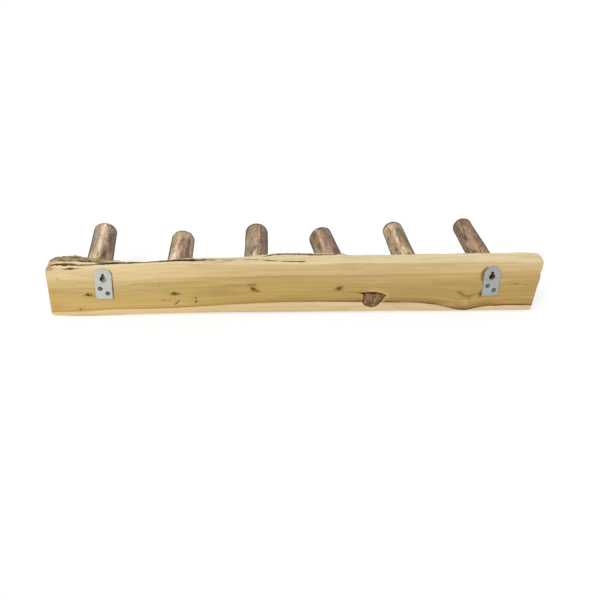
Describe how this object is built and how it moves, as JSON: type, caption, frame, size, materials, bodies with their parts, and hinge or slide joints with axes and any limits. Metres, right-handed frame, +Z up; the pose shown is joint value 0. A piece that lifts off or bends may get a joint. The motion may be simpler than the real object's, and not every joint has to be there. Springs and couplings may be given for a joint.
{
  "type": "peg rail",
  "caption": "Wall peg rail: a live-edge hardwood board with branch pegs screwed on from behind and keyhole hanger plates on its back.",
  "frame": {"origin": "midway between the tops of the two keyhole slots, on the wall plane that the hanger plates' outer faces lie in", "axes": "+X along the rail, to the left when the back is seen; +Y out of the back, into the wall; +Z up; the pegs point along -Y"},
  "size_m": [0.9056, 0.2193, 0.1088],
  "materials": {
    "board_wood": "sawn teak, unfinished, pale sapwood along both edges and darker heartwood between",
    "knot_wood": "dead knot, grey-brown and rough",
    "branch_wood": "debarked branch, weathered grey-brown",
    "wood_filler": "dark brown filler, dull",
    "zinc_plate": "zinc plated, dull",
    "screw_steel": "zinc plated, dull"
  },
  "bodies": {
    "root": {"board": "board_wood", "dead_knot": "knot_wood", "peg_1": "branch_wood", "peg_2": "branch_wood", "peg_3": "branch_wood", "peg_4": "branch_wood", "peg_5": "branch_wood", "peg_6": "branch_wood", "peg_screw_1": "screw_steel", "peg_screw_2": "screw_steel", "peg_screw_3": "screw_steel", "peg_screw_4": "screw_steel", "peg_screw_5": "screw_steel", "peg_screw_6": "screw_steel", "screw_plug_1": "wood_filler", "screw_plug_2": "wood_filler", "screw_plug_3": "wood_filler", "screw_plug_4": "wood_filler", "screw_plug_5": "wood_filler", "screw_plug_6": "wood_filler", "hanger_plate_1": "zinc_plate", "hanger_plate_2": "zinc_plate", "plate_1_screw_upper": "screw_steel", "plate_1_screw_lower": "screw_steel", "plate_2_screw_upper": "screw_steel", "plate_2_screw_lower": "screw_steel"}
  },
  "joints": []
}
